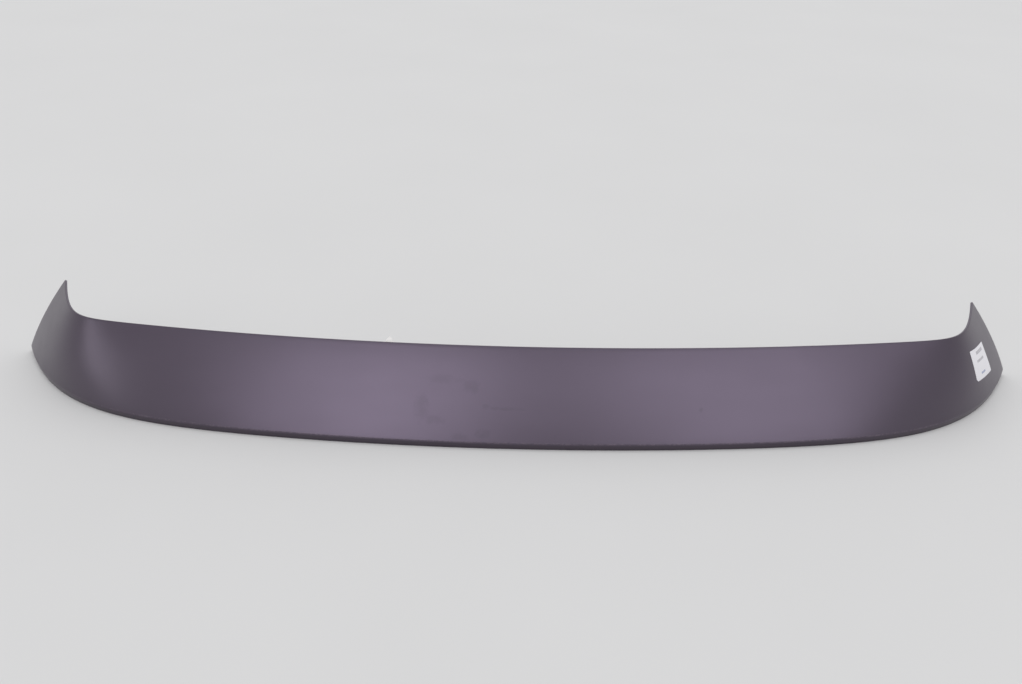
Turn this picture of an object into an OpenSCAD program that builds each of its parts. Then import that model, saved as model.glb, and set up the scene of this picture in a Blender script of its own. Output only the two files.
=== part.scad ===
// Tailgate spoiler: one curved moulding with its studs, seals, clips, tapes and label.
// It stands on the foot of its trailing lip, with the outer face looking along -Y.
// X runs across the car and +Z points to the car's front once the spoiler is fitted.
// The origin is the middle of the bounding box, at its bottom.

/* [Overall] */
// Width between the outer corners of the lip
spoiler_w = 1180; // [1100:5:1260]
// Depth from the middle of the lip back to the ends of the ears
spoiler_d = 184; // [165:1:200]
// Height of the leading edge above the foot of the lip
spoiler_h = 96; // [88:1:106]

/* [Lip] */
// Radius of the long bow of the lip, seen from above
lip_bow_r = 2850; // [2400:50:3500]
// Power of the curve that turns the lip into the ears, a higher one turns later
lip_turn_power = 8; // [6:1:10]
// Distance that the lip's ends stop short of the leading edge's tips
end_lean = 4.5; // [3:0.5:6]
// Height of the upright band under the fold
lip_h = 7; // [6:0.5:9]
// Distance that the foot of the band is drawn in under the fold
lip_undercut = 1.5; // [0.5:0.1:2.5]
// Length of band and face that the rounded fold takes up on each side
fold_reach = 2.5; // [1.5:0.25:3.5]

/* [Leading edge] */
// Setback of the leading edge behind the fold, at the middle
edge_setback = 54; // [48:1:62]
// Radius of the long bow of the leading edge, seen from above
edge_bow_r = 2925; // [2500:25:3600]
// Distance of the leading edge's corner inboard of the lip's corner
edge_corner_inset = 90; // [82:1:98]
// Angle between the ear's edge and the long edge, seen from above
ear_angle = 68; // [63:1:71]
// Length over which the long edge turns into the ear's edge
edge_turn = 12; // [9:1:15]

/* [Face and wall] */
// Height of the outward crown of the face between fold and edge
face_crown = 4; // [2:0.5:6]
// Thickness of the moulded wall
wall = 2.8; // [2.4:0.1:3.4]
// Rounding along the leading edge
edge_round = 0.8; // [0.4:0.1:1]

/* [Return flange and ribs] */
// Width of the flange turned in at the foot of the lip
flange_w = 14; // [11:0.5:18]
// Thickness of the flange
flange_t = 2.4; // [1.8:0.1:3]
// Rounding at the foot and at the root of the flange
foot_round = 0.8; // [0.4:0.1:1.2]
// Thickness of a rib
rib_t = 2; // [1.6:0.1:3]
// Height that a rib climbs up the wall
rib_h = 58; // [45:1:70]
// Spacing of the ribs along the long bow
rib_pitch = 62.5; // [55:0.5:70]
// Distance of the last rib on each ear inboard of the lip's corner
ear_rib_inset = 24; // [18:1:30]
// Depth of the long rib behind the wall
long_rib_d = 9; // [6:0.5:12]
// Distance of the long rib from the tape above it and from the outer seals
long_rib_gap = 8; // [5:0.5:12]

/* [Studs and seals] */
// Spacing of the two inner studs
inner_stud_spacing = 250; // [230:5:270]
// Spacing of the two outer studs
outer_stud_spacing = 750; // [700:5:780]
// Height of the studs above the foot
stud_z = 50; // [44:1:58]
// Radius of the stud thread, M6
stud_r = 3; // [2.5:0.5:4]
// Length of thread that stands out of the collar
stud_free = 20; // [14:1:26]
// Length of thread held in the boss
stud_held = 12; // [9:1:14]
// Width across the flats of the hexagonal collar
collar_af = 10; // [9:0.5:13]
// Thickness of the collar
collar_t = 3; // [2:0.5:4]
// Radius of the boss
boss_r = 10; // [9:0.5:12]
// Least length of a boss behind the wall
boss_len = 15; // [15:1:22]
// Radial clearance of the thread in its boss
thread_gap = 0.05; // [0.02:0.01:0.1]
// Outer radius of the foam seal
seal_r = 15; // [12:0.5:18]
// Radial clearance between the seal and the collar's corners
seal_gap = 0.8; // [0.4:0.1:1.5]
// Thickness of the foam seal
seal_t = 5; // [3.5:0.5:7]

/* [Locating pins] */
// Spacing of the two locating pins
pin_spacing = 500; // [460:5:540]
// Radius of a locating pin
pin_r = 4; // [3:0.25:5]
// Radius of the boss that carries a locating pin
pin_boss_r = 6.5; // [6:0.5:8]
// Length of a locating pin
pin_len = 14; // [10:1:18]
// Chamfer at the tip of a locating pin
pin_chamfer = 1; // [0.5:0.25:1.5]

/* [Ear clips] */
// Distance of the clip's axis inboard of the lip's corner
clip_inset = 82; // [76:1:88]
// Height of the clip's axis above the foot
clip_z = 42; // [36:1:48]
// Width and height of the moulded house that holds the clip
clip_house_w = 24; // [22:0.5:28]
// Depth of the house behind the wall at its outer side
clip_house_len = 10; // [9:0.5:12]
// Radius of the clip's head, held in the house
clip_head_r = 8; // [7:0.25:9]
// Thickness of the clip's head
clip_head_t = 2; // [1.5:0.25:2.5]
// Radius of the clip's neck and stem
clip_stem_r = 3; // [2.5:0.25:3.5]
// Radius of the collar outside the house
clip_collar_r = 9; // [8:0.25:11]
// Thickness of the collar outside the house
clip_collar_t = 1.2; // [1:0.1:2]
// Thickness of the house's floor, which the neck passes
clip_floor_t = 2.4; // [2:0.1:3]
// Clearance of the clip in its house
clip_gap = 0.2; // [0.1:0.05:0.4]
// Length of the barbed stem
clip_stem_len = 20; // [16:1:26]
// Radius of the barbs
clip_barb_r = 4.4; // [4:0.1:5]
// Number of barbs
clip_barbs = 5; // [3:1:6]

/* [Tapes and liners] */
// Distance of each tape's inner end from the middle
tape_start = 127; // [115:1:150]
// Distance of each tape's outer end inboard of the leading edge's corner
tape_end_inset = 80; // [68:1:118]
// Width of the tape
tape_w = 12; // [9:0.5:14]
// Thickness of the foam tape
tape_t = 1.6; // [1:0.1:2]
// Distance of the tape below the leading edge
tape_drop = 6; // [4:0.5:9]
// Thickness of the release liner
liner_t = 0.4; // [0.3:0.05:0.6]
// Thickness of the adhesive film between stuck faces
bond = 0.3; // [0.3:0.05:0.5]
// Height that the pull tab stands above the leading edge
tab_rise = 7; // [4:0.5:10]
// Width of the pull tab at its foot
tab_w = 20; // [14:1:26]

/* [Label] */
// Width of the label
label_w = 46; // [38:1:50]
// Height of the label
label_h = 39; // [32:1:42]
// Thickness of the label
label_t = 0.25; // [0.2:0.05:0.4]
// Distance of the label's middle inboard of the lip's corner
label_inset = 63; // [57:1:69]
// Height of the label's middle above the foot
label_z = 53; // [48:0.5:57]
// Turn of the label on the face
label_turn = -7; // [-12:1:4]
// Lean of the label's sides, cut out of square
label_lean = -20; // [-25:1:0]

/* [Hidden] */
$fn = 48;
fold_steps = 4;      // pieces of the rounded fold
face_steps = 7;      // pieces of the face from fold to edge
half_stations = 26;  // pieces of each half of the long sweep
sweep_angle = 80;    // spreads the stations, closer together at the ears
du = 0.001;          // small steps along and up the face, to find its normal
dt = 0.01;
search_steps = 40;   // halvings in the searches below
pairing_power = 4;   // how late the leading edge's places draw in towards the tip
overlap = 1;         // sinks one solid into the next where they are one piece
patch_margin = 4;    // room around a boss in the solid that trims it to the wall

half_w = spoiler_w / 2;
face_rise = spoiler_h - lip_h;
face_len = norm([edge_setback, face_rise]);
fold_v = fold_reach / face_len;
edge_v = edge_round / face_len;
corner_rise = spoiler_d - end_lean - half_w * half_w / (2 * lip_bow_r);
edge_corner_x = half_w - edge_corner_inset;

function unit(v) = v / norm(v);

// Plan of the fold, a long bow that a high power turns into the ears
function lip_y(x) = x * x / (2 * lip_bow_r) + corner_rise * pow(abs(x) / half_w, lip_turn_power);
function lip_slope(x) = x / lip_bow_r
    + sign(x) * corner_rise * lip_turn_power / half_w * pow(abs(x) / half_w, lip_turn_power - 1);

// Plan of the leading edge, a long bow with a rounded corner and straight ears
function soft_ramp(x, turn) = turn * ln(1 + exp(x / turn));
function edge_y(x) = edge_setback + x * x / (2 * edge_bow_r)
    + tan(ear_angle) * soft_ramp(abs(x) - edge_corner_x, edge_turn);
function find_tip(lo, hi, n) =
    let (mid = (lo + hi) / 2)
    n == 0 ? mid : edge_y(mid) < spoiler_d ? find_tip(mid, hi, n - 1) : find_tip(lo, mid, n - 1);
tip_x = find_tip(edge_corner_x, half_w, search_steps);

// Places along the sweep run from u = -1 at the left ear's end to u = 1 at the right one
function lip_plan(u) = [half_w * u, lip_y(half_w * u)];
function edge_plan(u) =
    let (x = half_w * u * (1 - (1 - tip_x / half_w) * pow(u, pairing_power)))
    [x, edge_y(x)];
function outward(u) = unit([lip_slope(half_w * u), -1]);

// Point of the crowned face, with v = 0 at the fold and v = 1 at the leading edge
function face_point(u, v) =
    let (plan = lip_plan(u) * (1 - v) + edge_plan(u) * v + outward(u) * face_crown * 4 * v * (1 - v))
    [plan.x, plan.y, lip_h + face_rise * v];

// Points at a distance inward of the foot line: square to it for the band, and
// towards the leading edge for the flange, so that the flange ends flush with the ear
function foot_point(u, inset, z) =
    let (plan = lip_plan(u) - outward(u) * (lip_undercut + inset))
    [plan.x, plan.y, z];
function flange_point(u, inset, z) =
    let (plan = lip_plan(u) + unit(edge_plan(u) - lip_plan(u)) * (lip_undercut + inset))
    [plan.x, plan.y, z];
function band_point(u, inset, z) = foot_point(u, inset - lip_undercut * z / lip_h, z);

// Outer line of a section: the fold for t from 0 to 1, then the face for t from 1 to 2
function section_point(u, t) =
    let (crease = face_point(u, 0),
         down = unit(foot_point(u, 0, 0) - crease),
         band_end = crease + down * fold_reach,
         face_start = face_point(u, fold_v))
    t < 0 ? band_end - down * t * 2 * fold_reach :
    t < 1 ? band_end * pow(1 - t, 2) + crease * 2 * t * (1 - t) + face_start * t * t :
    face_point(u, face_v(t));
function face_v(t) = fold_v + (1 - fold_v) * (t - 1);
function face_t(v) = 1 + (v - fold_v) / (1 - fold_v);
function skin_normal(u, t) = unit(cross(
    section_point(u + du, t) - section_point(u - du, t),
    section_point(u, t + dt) - section_point(u, t - dt)));
function depth_point(u, t, depth) = section_point(u, t) - skin_normal(u, t) * depth;

// Sweep position of a place on the face, and the depth of the wall's inner side there
function height_v(z) = (z - lip_h) / face_rise;
function find_u(x, v, lo, hi, n) =
    let (mid = (lo + hi) / 2)
    n == 0 ? mid : face_point(mid, v).x < x ? find_u(x, v, mid, hi, n - 1) : find_u(x, v, lo, mid, n - 1);
function place_u(x, z) = find_u(x, height_v(z), -1, 1, search_steps);
function inner_y(x, z) = depth_point(place_u(x, z), face_t(height_v(z)), wall).y;

stations = [for (i = [-half_stations:half_stations])
    sin(sweep_angle * i / half_stations) / sin(sweep_angle)];
fold_ts = [for (i = [0:fold_steps]) i / fold_steps];
face_ts = [for (i = [1:face_steps]) 1 + (1 - edge_v) * i / face_steps];
skin_ts = concat(fold_ts, face_ts);

stud_xs = [-outer_stud_spacing / 2, -inner_stud_spacing / 2, inner_stud_spacing / 2, outer_stud_spacing / 2];
pin_xs = [-pin_spacing / 2, pin_spacing / 2];
seat_y = boss_len + max([for (x = stud_xs) inner_y(x, stud_z)]);
collar_r = collar_af / 2 / cos(30);
seal_hole_r = collar_r + seal_gap;

// Places of the tape and its liner: along the sweep, up the face and behind the wall
tape_end = edge_corner_x - tape_end_inset;
tape_high_t = 2 - tape_drop / face_len;
tape_low_t = tape_high_t - tape_w / face_len;
tape_near = wall + bond;
liner_near = tape_near + tape_t + bond;

clip_x = half_w - clip_inset;
clip_seat_y = inner_y(clip_x + clip_house_w / 2, clip_z) + clip_house_len;
clip_head_y = clip_seat_y - clip_floor_t - clip_gap - clip_head_t;

// Section of the moulding: flange, foot, fold, face and edge outside, and back down inside
function shell_ring(u) = concat(
    [flange_point(u, flange_w, 0), foot_point(u, foot_round, 0), band_point(u, 0, foot_round)],
    [for (t = skin_ts) section_point(u, t)],
    [depth_point(u, 2, edge_round), depth_point(u, 2, wall - edge_round)],
    [for (i = [len(skin_ts) - 1:-1:0]) depth_point(u, skin_ts[i], wall)],
    [band_point(u, wall, flange_t + foot_round), foot_point(u, wall + foot_round, flange_t),
     flange_point(u, flange_w, flange_t)]);

// Middle of the bounding box along Y
front_y = min([for (p = shell_ring(0)) p.y]);
back_y = max([for (p = shell_ring(1)) p.y]);
mid_y = (front_y + back_y) / 2;

// Triangles that close a ring: a fan for a round one, a strip for a thin one
function fan_cap(n) = [for (k = [1:n - 2]) [0, k, k + 1]];
function strip_cap(n) = [for (k = [0:n / 2 - 2]) each
    [[k, k + 1, n - 2 - k], [k, n - 2 - k, n - 1 - k]]];

// Closed solid through rings that have the same number of points. Seen from the last
// ring's end, each ring runs clockwise. The two halves of a ring split their faces along
// the same diagonals, so that both sides of a thin wall stay parallel.
module loft(rings, cap) {
    count = len(rings[0]);
    last = (len(rings) - 1) * count;
    sides = [for (r = [0:len(rings) - 2], k = [0:count - 1])
        let (a = r * count + k, b = r * count + (k + 1) % count)
        each k < count / 2
            ? [[a, b, b + count], [a, b + count, a + count]]
            : [[a, b, a + count], [b, b + count, a + count]]];
    polyhedron(
        points = [for (ring = rings) each ring],
        faces = concat(sides,
            [for (f = cap) [f[0], f[2], f[1]]],
            [for (f = cap) [last + f[0], last + f[1], last + f[2]]]),
        convexity = 12);
}

// Moves a piece from the plan's own frame to the part's frame
module placed() { translate([0, -mid_y, 0]) children(); }

// Turns a piece drawn along +Z so that it runs along +Y from a place behind the face
module along_y(x, y, z) { translate([x, y, z]) rotate([-90, 0, 0]) children(); }

module shell_skin() {
    rings = [for (u = stations) shell_ring(u)];
    loft(rings, strip_cap(len(rings[0])));
}

// Upright rib in a section, from the flange's edge up the wall
module rib(u) {
    half_t = rib_t / 2 / norm([half_w, half_w * lip_slope(half_w * u)]);
    tops = [for (i = [0:face_steps]) 1 + (face_t(height_v(rib_h)) - 1) * i / face_steps];
    function rib_ring(u) = concat(
        [flange_point(u, flange_w - foot_round, flange_t / 2), foot_point(u, wall / 2, flange_t / 2)],
        [for (t = tops) depth_point(u, t, wall / 2)]);
    rings = [rib_ring(u - half_t), rib_ring(u + half_t)];
    loft(rings, fan_cap(len(rings[0])));
}

// Strip along the wall between two places x, from one height and depth to another
module wall_strip(from_x, to_x, low_t, high_t, near, far) {
    from_u = place_u(from_x, spoiler_h);
    to_u = place_u(to_x, spoiler_h);
    us = concat([from_u], [for (u = stations) if (u > from_u + du && u < to_u - du) u], [to_u]);
    rings = [for (u = us)
        [depth_point(u, low_t, near), depth_point(u, high_t, near),
         depth_point(u, high_t, far), depth_point(u, low_t, far)]];
    loft(rings, fan_cap(4));
}

// Long rib that follows the wall between the outer seals, below the tapes
module long_rib() {
    high_t = tape_low_t - long_rib_gap / face_len;
    end_x = outer_stud_spacing / 2 - seal_r - long_rib_gap;
    wall_strip(-end_x, end_x, high_t - rib_t / face_len, high_t, wall / 2, wall + long_rib_d);
}

// Room behind the middle of the wall, around a place on the face, back to a depth
module behind_wall(x, z, reach, back) {
    steps = 4;
    left_u = place_u(x - reach, z);
    right_u = place_u(x + reach, z);
    low_t = face_t(height_v(z - reach));
    high_t = face_t(height_v(z + reach));
    rings = [for (i = [0:steps])
        let (u = left_u + (right_u - left_u) * i / steps,
             front = [for (k = [0:steps]) depth_point(u, low_t + (high_t - low_t) * k / steps, wall / 2)])
        concat(front, [for (k = [steps:-1:0]) [front[k].x, back, front[k].z]])];
    loft(rings, strip_cap(len(rings[0])));
}

// Round boss that grows out of the wall and ends in the flat seat
module boss(x, r) {
    intersection() {
        along_y(x, 0, stud_z) cylinder(r = r, h = seat_y);
        behind_wall(x, stud_z, r + patch_margin, seat_y + overlap);
    }
}

module locating_pin(x) {
    boss(x, pin_boss_r);
    along_y(x, seat_y - overlap, stud_z) cylinder(r = pin_r, h = pin_len + overlap - pin_chamfer);
    along_y(x, seat_y + pin_len - pin_chamfer, stud_z)
        cylinder(r1 = pin_r, r2 = pin_r - pin_chamfer, h = pin_chamfer);
}

// House on the ear, with a slot open inboard that the clip's head slides into
module clip_house(side) {
    x = side * clip_x;
    slot_r = clip_head_r + clip_gap;
    neck_r = clip_stem_r + clip_gap;
    pocket_y = clip_head_y - clip_gap;
    pocket_t = clip_head_t + 2 * clip_gap;
    difference() {
        intersection() {
            translate([x - clip_house_w / 2, 0, clip_z - clip_house_w / 2])
                cube([clip_house_w, clip_seat_y, clip_house_w]);
            behind_wall(x, clip_z, clip_house_w / 2 + patch_margin, clip_seat_y + overlap);
        }
        along_y(x, pocket_y, clip_z) cylinder(r = slot_r, h = pocket_t);
        along_y(x, pocket_y, clip_z) cylinder(r = neck_r, h = clip_seat_y);
        mirror([side < 0 ? 1 : 0, 0, 0]) {
            translate([clip_x - clip_house_w, pocket_y, clip_z - slot_r])
                cube([clip_house_w, pocket_t, 2 * slot_r]);
            translate([clip_x - clip_house_w, pocket_y, clip_z - neck_r])
                cube([clip_house_w, clip_seat_y, 2 * neck_r]);
        }
    }
}

module spoiler_shell() {
    rib_count = floor((outer_stud_spacing / 2 + rib_pitch) / rib_pitch);
    color("#3a363d") placed() difference() {
        union() {
            shell_skin();
            for (i = [-rib_count:rib_count]) rib(place_u(i * rib_pitch, lip_h));
            for (side = [-1, 1]) rib(place_u(side * (half_w - ear_rib_inset), lip_h));
            long_rib();
            for (x = stud_xs) boss(x, boss_r);
            for (x = pin_xs) locating_pin(x);
            for (side = [-1, 1]) clip_house(side);
        }
        for (x = stud_xs) along_y(x, seat_y - stud_held, stud_z)
            cylinder(r = stud_r + thread_gap, h = stud_held + overlap);
    }
}

// Threaded stud with a hexagonal collar that bears on the boss
module mount_stud(i) {
    color("silver") placed() along_y(stud_xs[i - 1], seat_y, stud_z) {
        translate([0, 0, -stud_held]) cylinder(r = stud_r, h = stud_held + collar_t + stud_free);
        cylinder(r = collar_r, h = collar_t, $fn = 6);
    }
}

module stud_seal(i) {
    color("#26262a") placed() along_y(stud_xs[i - 1], seat_y, stud_z) difference() {
        cylinder(r = seal_r, h = seal_t);
        translate([0, 0, -overlap]) cylinder(r = seal_hole_r, h = seal_t + 2 * overlap);
    }
}

// Push clip: head, neck, collar and a stem with cone-shaped barbs
module ear_clip(side) {
    collar_z = clip_head_t + clip_gap + clip_floor_t + clip_gap;
    stem_z = collar_z + clip_collar_t;
    barb_pitch = clip_stem_len / (clip_barbs + 1);
    color("#e8e4da") placed() along_y(side * clip_x, clip_head_y, clip_z) {
        cylinder(r = clip_head_r, h = clip_head_t);
        translate([0, 0, collar_z]) cylinder(r = clip_collar_r, h = clip_collar_t);
        cylinder(r = clip_stem_r, h = stem_z + clip_stem_len - barb_pitch);
        for (i = [1:clip_barbs]) translate([0, 0, stem_z + i * barb_pitch - barb_pitch / 2])
            cylinder(r1 = clip_barb_r, r2 = clip_stem_r, h = barb_pitch / 2);
        translate([0, 0, stem_z + clip_stem_len - barb_pitch])
            cylinder(r1 = clip_stem_r, r2 = clip_stem_r / 3, h = barb_pitch);
    }
}

// Strip below the leading edge on one side, between two depths
module edge_strip(side, near, far) {
    from_x = side < 0 ? -tape_end : tape_start;
    to_x = side < 0 ? -tape_start : tape_end;
    wall_strip(from_x, to_x, tape_low_t, tape_high_t, near, far);
}

module edge_tape(side) { color("#55555a") placed() edge_strip(side, tape_near, tape_near + tape_t); }

// Corner of the liner that is left standing above the leading edge, to pull it off by
module pull_tab() {
    low_t = (tape_low_t + tape_high_t) / 2;
    left_u = place_u(-tape_start - tab_w, spoiler_h);
    right_u = place_u(-tape_start, spoiler_h);
    top_u = (left_u + right_u) / 2;
    function tab_ring(depth) =
        let (up = unit(face_point(top_u, 1) - face_point(top_u, 0.9)),
             edge = depth_point(top_u, 2, depth))
        [depth_point(left_u, low_t, depth), depth_point(right_u, low_t, depth), edge + up * tab_rise];
    loft([tab_ring(liner_near), tab_ring(liner_near + liner_t)], fan_cap(3));
}

module tape_liner(side) {
    color("#f4f2ec") placed() {
        edge_strip(side, liner_near, liner_near + liner_t);
        if (side < 0) pull_tab();
    }
}

// Label that follows the right ear's face, with sides a little out of square
module parts_label() {
    steps = 8;
    u0 = place_u(half_w - label_inset, label_z);
    v0 = height_v(label_z);
    along = (face_point(u0 + du, v0) - face_point(u0 - du, v0)) / (2 * du);
    up = (face_point(u0, v0 + du) - face_point(u0, v0 - du)) / (2 * du);
    across = unit(along);
    rise = unit(cross(skin_normal(u0, face_t(v0)), across));
    function label_uv(a, b) =
        let (x = a * label_w + b * label_h * tan(label_lean),
             y = b * label_h,
             p = x * cos(label_turn) - y * sin(label_turn),
             q = x * sin(label_turn) + y * cos(label_turn),
             dv = q / (up * rise))
        [u0 + (p - dv * (up * across)) / norm(along), v0 + dv];
    function label_point(a, b, depth) =
        let (uv = label_uv(a, b)) depth_point(uv[0], face_t(uv[1]), depth);
    rings = [for (i = [0:steps]) concat(
        [for (k = [0:steps]) label_point(i / steps - 0.5, k / steps - 0.5, -bond - label_t)],
        [for (k = [steps:-1:0]) label_point(i / steps - 0.5, k / steps - 0.5, -bond)])];
    color("white") placed() loft(rings, strip_cap(len(rings[0])));
}

spoiler_shell();
for (i = [1:4]) mount_stud(i);
for (i = [1:4]) stud_seal(i);
ear_clip(-1);  // ear_clip_left
ear_clip(1);  // ear_clip_right
edge_tape(-1);  // edge_tape_left
edge_tape(1);  // edge_tape_right
tape_liner(-1);  // tape_liner_left
tape_liner(1);  // tape_liner_right
parts_label();
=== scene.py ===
# %% [markdown]
# # A moulded tailgate spoiler
#
# The part is one long plastic moulding that stands on its lip. Its face sweeps from ear
# to ear, and its back carries ribs, bosses, studs, foam rings, clips and strips of tape.
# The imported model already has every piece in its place. This script keeps that frame and
# gives each piece the fine shape and the finish of the real one.

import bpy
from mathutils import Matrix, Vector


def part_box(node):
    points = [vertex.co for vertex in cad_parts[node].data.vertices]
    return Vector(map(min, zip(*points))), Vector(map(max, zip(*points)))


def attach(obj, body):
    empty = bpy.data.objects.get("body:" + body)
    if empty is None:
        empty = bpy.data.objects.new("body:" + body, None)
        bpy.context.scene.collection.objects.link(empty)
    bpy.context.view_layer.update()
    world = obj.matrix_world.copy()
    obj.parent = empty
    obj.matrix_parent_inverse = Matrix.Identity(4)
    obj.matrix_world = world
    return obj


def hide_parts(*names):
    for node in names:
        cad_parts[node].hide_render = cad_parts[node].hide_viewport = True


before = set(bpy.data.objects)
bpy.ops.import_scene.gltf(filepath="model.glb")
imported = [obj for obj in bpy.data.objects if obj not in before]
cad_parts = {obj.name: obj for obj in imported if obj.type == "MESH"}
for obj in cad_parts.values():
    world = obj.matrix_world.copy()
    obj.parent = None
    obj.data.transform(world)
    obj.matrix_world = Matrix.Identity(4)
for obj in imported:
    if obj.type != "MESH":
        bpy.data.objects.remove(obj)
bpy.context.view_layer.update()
print("nodes:", sorted(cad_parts))

# %% Other tools
import math

import bmesh
import bpy
import numpy as np
from mathutils import Euler, Matrix, Vector

MM = 0.001
scene = bpy.context.scene

# %% [markdown]
# ## Camera
#
# A camera is a lens and a place. The photograph was taken from a little more than a
# metre away, looking down by 30 degrees, and it leans a little to one side. A lens of
# 35 mm on a 36 mm sensor gives the same spread between the near lip and the far ears.

# %% Camera
LENS_MM = 35.23
SENSOR_MM = 36.0
CAMERA_PLACE = Vector((0, -954.5, 630.3)) * MM
LOOK_DOWN_DEG = 30.0
LEAN_DEG = 1.4
SHIFT_X = -0.0064

camera_data = bpy.data.cameras.new("camera")
camera_data.lens = LENS_MM
camera_data.sensor_width = SENSOR_MM
camera_data.shift_x = SHIFT_X
camera = bpy.data.objects.new("camera", camera_data)
looking = Euler((math.radians(90 - LOOK_DOWN_DEG), 0, 0)).to_matrix()
leaning = Euler((0, 0, math.radians(LEAN_DEG))).to_matrix()
camera.matrix_world = Matrix.Translation(CAMERA_PLACE) @ (looking @ leaning).to_4x4()
scene.collection.objects.link(camera)
scene.camera = camera
print("camera stands", round(CAMERA_PLACE.length, 3), "m from the part's middle")

# %% [markdown]
# ## Writing nodes as Python
#
# Both the shapes and the finishes below are node trees. A node is added by naming its
# type, its settings and its sockets, so one method can add any of them. Sums are easier
# to read as sums: a Value wraps one output socket, and Python's operators on it add the
# Math nodes.

# %% Values and nets
def operator(operation, reflected=False):
    """A method of Value that adds one Math node."""
    def method(self, *others):
        terms = (*others, self) if reflected else (self, *others)
        return self.net.maths(operation, *terms)
    return method


class Value:
    """One output socket of a node, which Python's operators work on."""

    def __init__(self, net, socket):
        self.net = net
        self.socket = socket

    def out(self, name):
        """Another output of the same node."""
        return Value(self.net, self.socket.node.outputs[name])

    def clip(self, low, high):
        return self.net.maths("MINIMUM", self.net.maths("MAXIMUM", self, low), high)

    __add__ = __radd__ = operator("ADD")
    __sub__ = operator("SUBTRACT")
    __rsub__ = operator("SUBTRACT", reflected=True)
    __mul__ = __rmul__ = operator("MULTIPLY")
    __truediv__ = operator("DIVIDE")
    __rtruediv__ = operator("DIVIDE", reflected=True)
    __pow__ = operator("POWER")
    __abs__ = operator("ABSOLUTE")
    __lt__ = operator("LESS_THAN")
    __gt__ = operator("GREATER_THAN")


class Net:
    """A node tree that is being wired."""

    def __init__(self, tree):
        self.tree = tree

    def add(self, kind, sockets=None, **settings):
        """Adds a node: first its settings, then the values or links of its sockets."""
        node = self.tree.nodes.new(kind)
        for name, setting in settings.items():
            setattr(node, name, setting)
        ends = [end for end in node.inputs if end.enabled]
        for name, given in (sockets or {}).items():
            end = ends[name] if isinstance(name, int) else next(e for e in ends if e.name == name)
            if isinstance(given, Value):
                self.tree.links.new(given.socket, end)
            else:
                end.default_value = given
        outputs = [output for output in node.outputs if output.enabled]
        return Value(self, outputs[0]) if outputs else node

    def maths(self, operation, *terms):
        return self.add("ShaderNodeMath", dict(enumerate(terms)), operation=operation)

    def vector(self, operation, *terms):
        return self.add("ShaderNodeVectorMath", dict(enumerate(terms)), operation=operation)

    def point(self, x, y, z):
        return self.add("ShaderNodeCombineXYZ", {"X": x, "Y": y, "Z": z})

    def parts(self, vector):
        x = self.add("ShaderNodeSeparateXYZ", {"Vector": vector})
        return x, x.out("Y"), x.out("Z")


SOCKET_KINDS = {
    type(None): "NodeSocketGeometry",
    float: "NodeSocketFloat",
    bpy.types.Material: "NodeSocketMaterial",
    bpy.types.Object: "NodeSocketObject",
}


def new_group(name, inputs, outputs):
    """A group of geometry nodes, its net and its named inputs."""
    tree = bpy.data.node_groups.new(name, "GeometryNodeTree")
    for label, default in inputs.items():
        kind = default if isinstance(default, type) else type(default)
        socket = tree.interface.new_socket(label, in_out="INPUT", socket_type=SOCKET_KINDS[kind])
        if kind is float:
            socket.default_value = default
    for label, kind in outputs.items():
        tree.interface.new_socket(label, in_out="OUTPUT", socket_type=kind)
    net = Net(tree)
    start = net.add("NodeGroupInput")
    return net, {label: start.out(label) for label in inputs}


def hand_out(net, geometry, material):
    """Ends a tree: copies become real geometry, which gets its material."""
    whole = net.add("GeometryNodeRealizeInstances", {"Geometry": geometry})
    dressed = net.add("GeometryNodeSetMaterial", {"Geometry": whole, "Material": material})
    net.add("NodeGroupOutput", {"Geometry": dressed})
    return net.tree


# %% [markdown]
# ## The shape of the spoiler
#
# A part like this is drawn with a few curves. Seen from above, the lip is a long bow
# whose ends a high power turns back into the ears, and the leading edge is a flatter bow
# with a rounded corner at each ear. The face runs from one to the other with a slight
# crown. These are the part's own sizes.

# %% Sizes
SHAPE = {
    "Half Width": 590 * MM,
    "Depth": 184 * MM,
    "Height": 96 * MM,
    "Lip Bow": 2850 * MM,
    "Lip Power": 8.0,
    "End Lean": 4.5 * MM,
    "Lip Height": 7 * MM,
    "Undercut": 1.5 * MM,
    "Fold Reach": 2.5 * MM,
    "Setback": 54 * MM,
    "Edge Bow": 2925 * MM,
    "Corner Inset": 90 * MM,
    "Ear Slope": math.tan(math.radians(68)),
    "Edge Turn": 12 * MM,
    "Crown": 4 * MM,
    "Pairing": 4.0,
    "Flange Width": 14 * MM,
}
WALL = 2.8 * MM
EDGE_ROUND = 0.8 * MM
FLANGE_T = 2.4 * MM
FOOT_ROUND = 0.8 * MM
PLAN_PLACES = 20001

face_rise = SHAPE["Height"] - SHAPE["Lip Height"]
face_length = math.hypot(SHAPE["Setback"], face_rise)
band_length = math.hypot(SHAPE["Undercut"], SHAPE["Lip Height"])


def edge_y(x):
    """Plan of the leading edge."""
    past = x - (SHAPE["Half Width"] - SHAPE["Corner Inset"])
    turned = SHAPE["Edge Turn"] * np.log1p(np.exp(past / SHAPE["Edge Turn"]))
    return SHAPE["Setback"] + x * x / (2 * SHAPE["Edge Bow"]) + SHAPE["Ear Slope"] * turned


half_line = np.linspace(0, SHAPE["Half Width"], PLAN_PLACES)
SHAPE["Tip"] = float(np.interp(SHAPE["Depth"], edge_y(half_line), half_line))
print("the leading edge ends", round(SHAPE["Tip"] / MM, 1), "mm from the middle")

# %% [markdown]
# The same formulas can be written as nodes. A place on the part is given by its sweep,
# from -1 at the left ear to 1 at the right one, and by its rise, the distance in the
# section from the fold: negative down the band and along the flange, positive up the
# face. One group turns the two into a point.

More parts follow.
